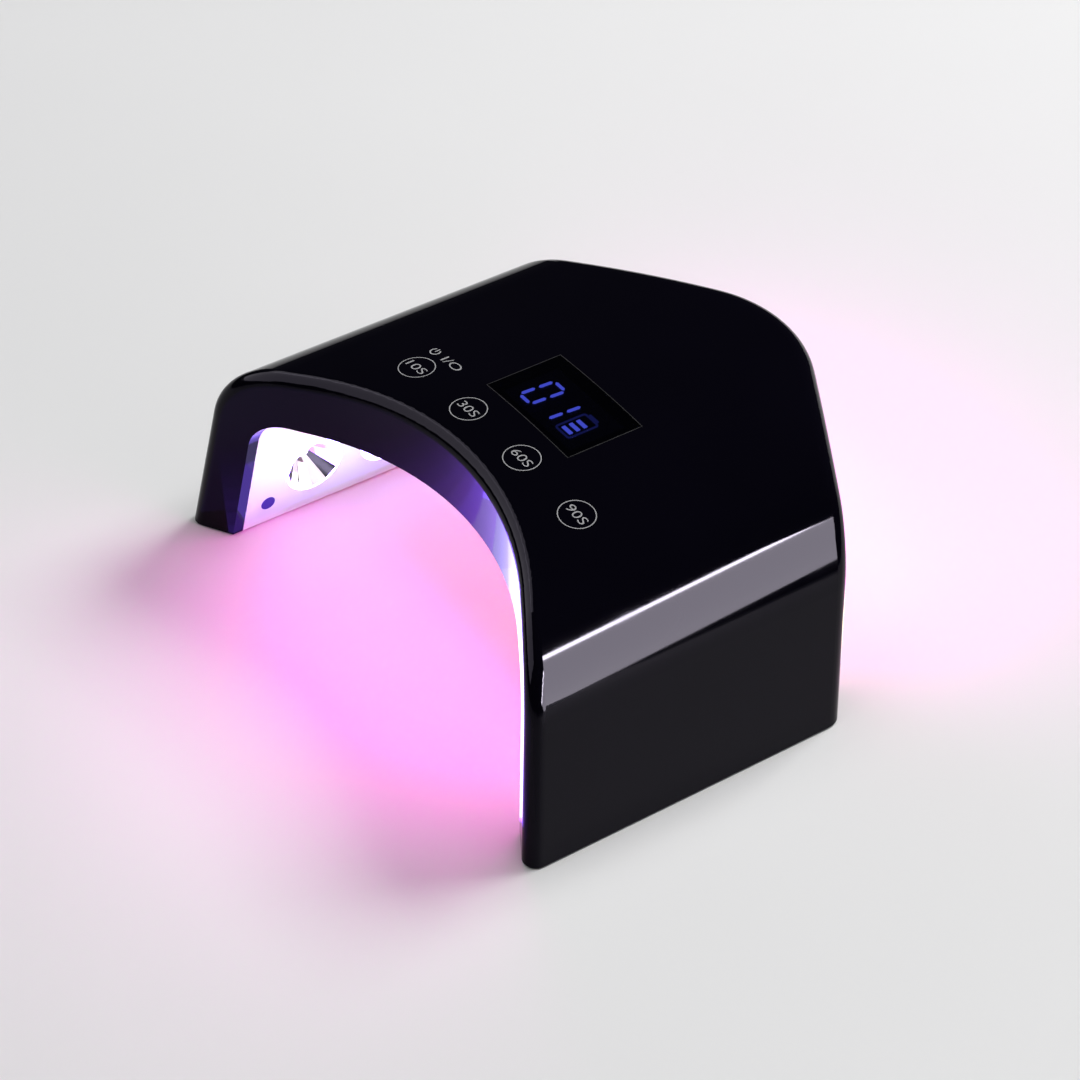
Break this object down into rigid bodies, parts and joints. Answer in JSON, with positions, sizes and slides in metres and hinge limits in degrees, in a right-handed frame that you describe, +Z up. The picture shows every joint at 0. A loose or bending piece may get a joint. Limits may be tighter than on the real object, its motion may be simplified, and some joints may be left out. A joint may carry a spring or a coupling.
{
  "type": "uv led nail lamp",
  "caption": "Cordless arch-shaped nail curing lamp, open front, back and below, with timer keys, a flush display on its crown and faceted light units in a white tunnel.",
  "frame": {"origin": "centre of the footprint's bounding box, on the surface the rubber feet stand on", "axes": "+X to the lamp's right seen from the front, +Y from the front opening to the back, +Z up"},
  "size_m": [0.2, 0.1682, 0.0792],
  "materials": {
    "black_gloss": "high-gloss black moulding",
    "black_matte": "fine matt black moulding",
    "white_liner": "smooth white reflective moulding",
    "reflector": "vacuum-metallised facets",
    "smoked_window": "smoked acrylic, polished",
    "blue_light": "lit light bars",
    "violet_light": "lit emitters with clear domes",
    "sensor_tint": "dark violet infrared filter",
    "board_green": "solder-resist green",
    "board_white": "aluminium board, white resist",
    "part_black": "black component bodies",
    "cell_foil": "aluminium laminate pouch",
    "steel": "zinc-plated steel",
    "foot_rubber": "soft black rubber",
    "lead_red": "insulated flexible lead",
    "pin_metal": "nickel-plated"
  },
  "bodies": {
    "housing": {"base_screws": "steel", "battery_cells": "cell_foil", "battery_leads": "lead_red", "battery_tray": "black_matte", "board_link": "part_black", "ceiling_board_screws": "steel", "ceiling_led_board": "board_white", "ceiling_leds": "violet_light", "ceiling_reflectors": "reflector", "charging_board": "board_green", "charging_leads": "lead_red", "charging_screws": "steel", "control_board": "board_green", "control_chips": "part_black", "control_screws": "steel", "dc_pin": "pin_metal", "dc_socket": "part_black", "display_bars": "blue_light", "display_module": "part_black", "display_window": "smoked_window", "inner_liner": "white_liner", "ir_emitter": "sensor_tint", "ir_receiver": "part_black", "left_base_plate": "black_matte", "left_board_screws": "steel", "left_led_board": "board_white", "left_leds": "violet_light", "left_reflectors": "reflector", "liner_screws": "steel", "outer_shell": "black_gloss", "right_base_plate": "black_matte", "right_board_screws": "steel", "right_led_board": "board_white", "right_leds": "violet_light", "right_reflectors": "reflector", "rubber_feet": "foot_rubber", "sensor_windows": "sensor_tint", "side_wires": "lead_red", "tact_switches": "part_black", "tray_screws": "steel"},
    "button_10s": {"key_10s": "black_gloss", "plunger_10s": "part_black"},
    "button_30s": {"key_30s": "black_gloss", "plunger_30s": "part_black"},
    "button_60s": {"key_60s": "black_gloss", "plunger_60s": "part_black"},
    "button_90s": {"key_90s": "black_gloss", "plunger_90s": "part_black"}
  },
  "joints": [
    {"name": "press_10s", "type": "slide", "parent": "housing", "child": "button_10s", "axis": [0, 0, -1], "range_m": [0, 0.0005], "stiffness_N_per_m": 3000},
    {"name": "press_30s", "type": "slide", "parent": "housing", "child": "button_30s", "axis": [0, 0, -1], "range_m": [0, 0.0005], "stiffness_N_per_m": 3000},
    {"name": "press_60s", "type": "slide", "parent": "housing", "child": "button_60s", "axis": [0, 0, -1], "range_m": [0, 0.0005], "stiffness_N_per_m": 3000},
    {"name": "press_90s", "type": "slide", "parent": "housing", "child": "button_90s", "axis": [0, 0, -1], "range_m": [0, 0.0005], "stiffness_N_per_m": 3000}
  ]
}
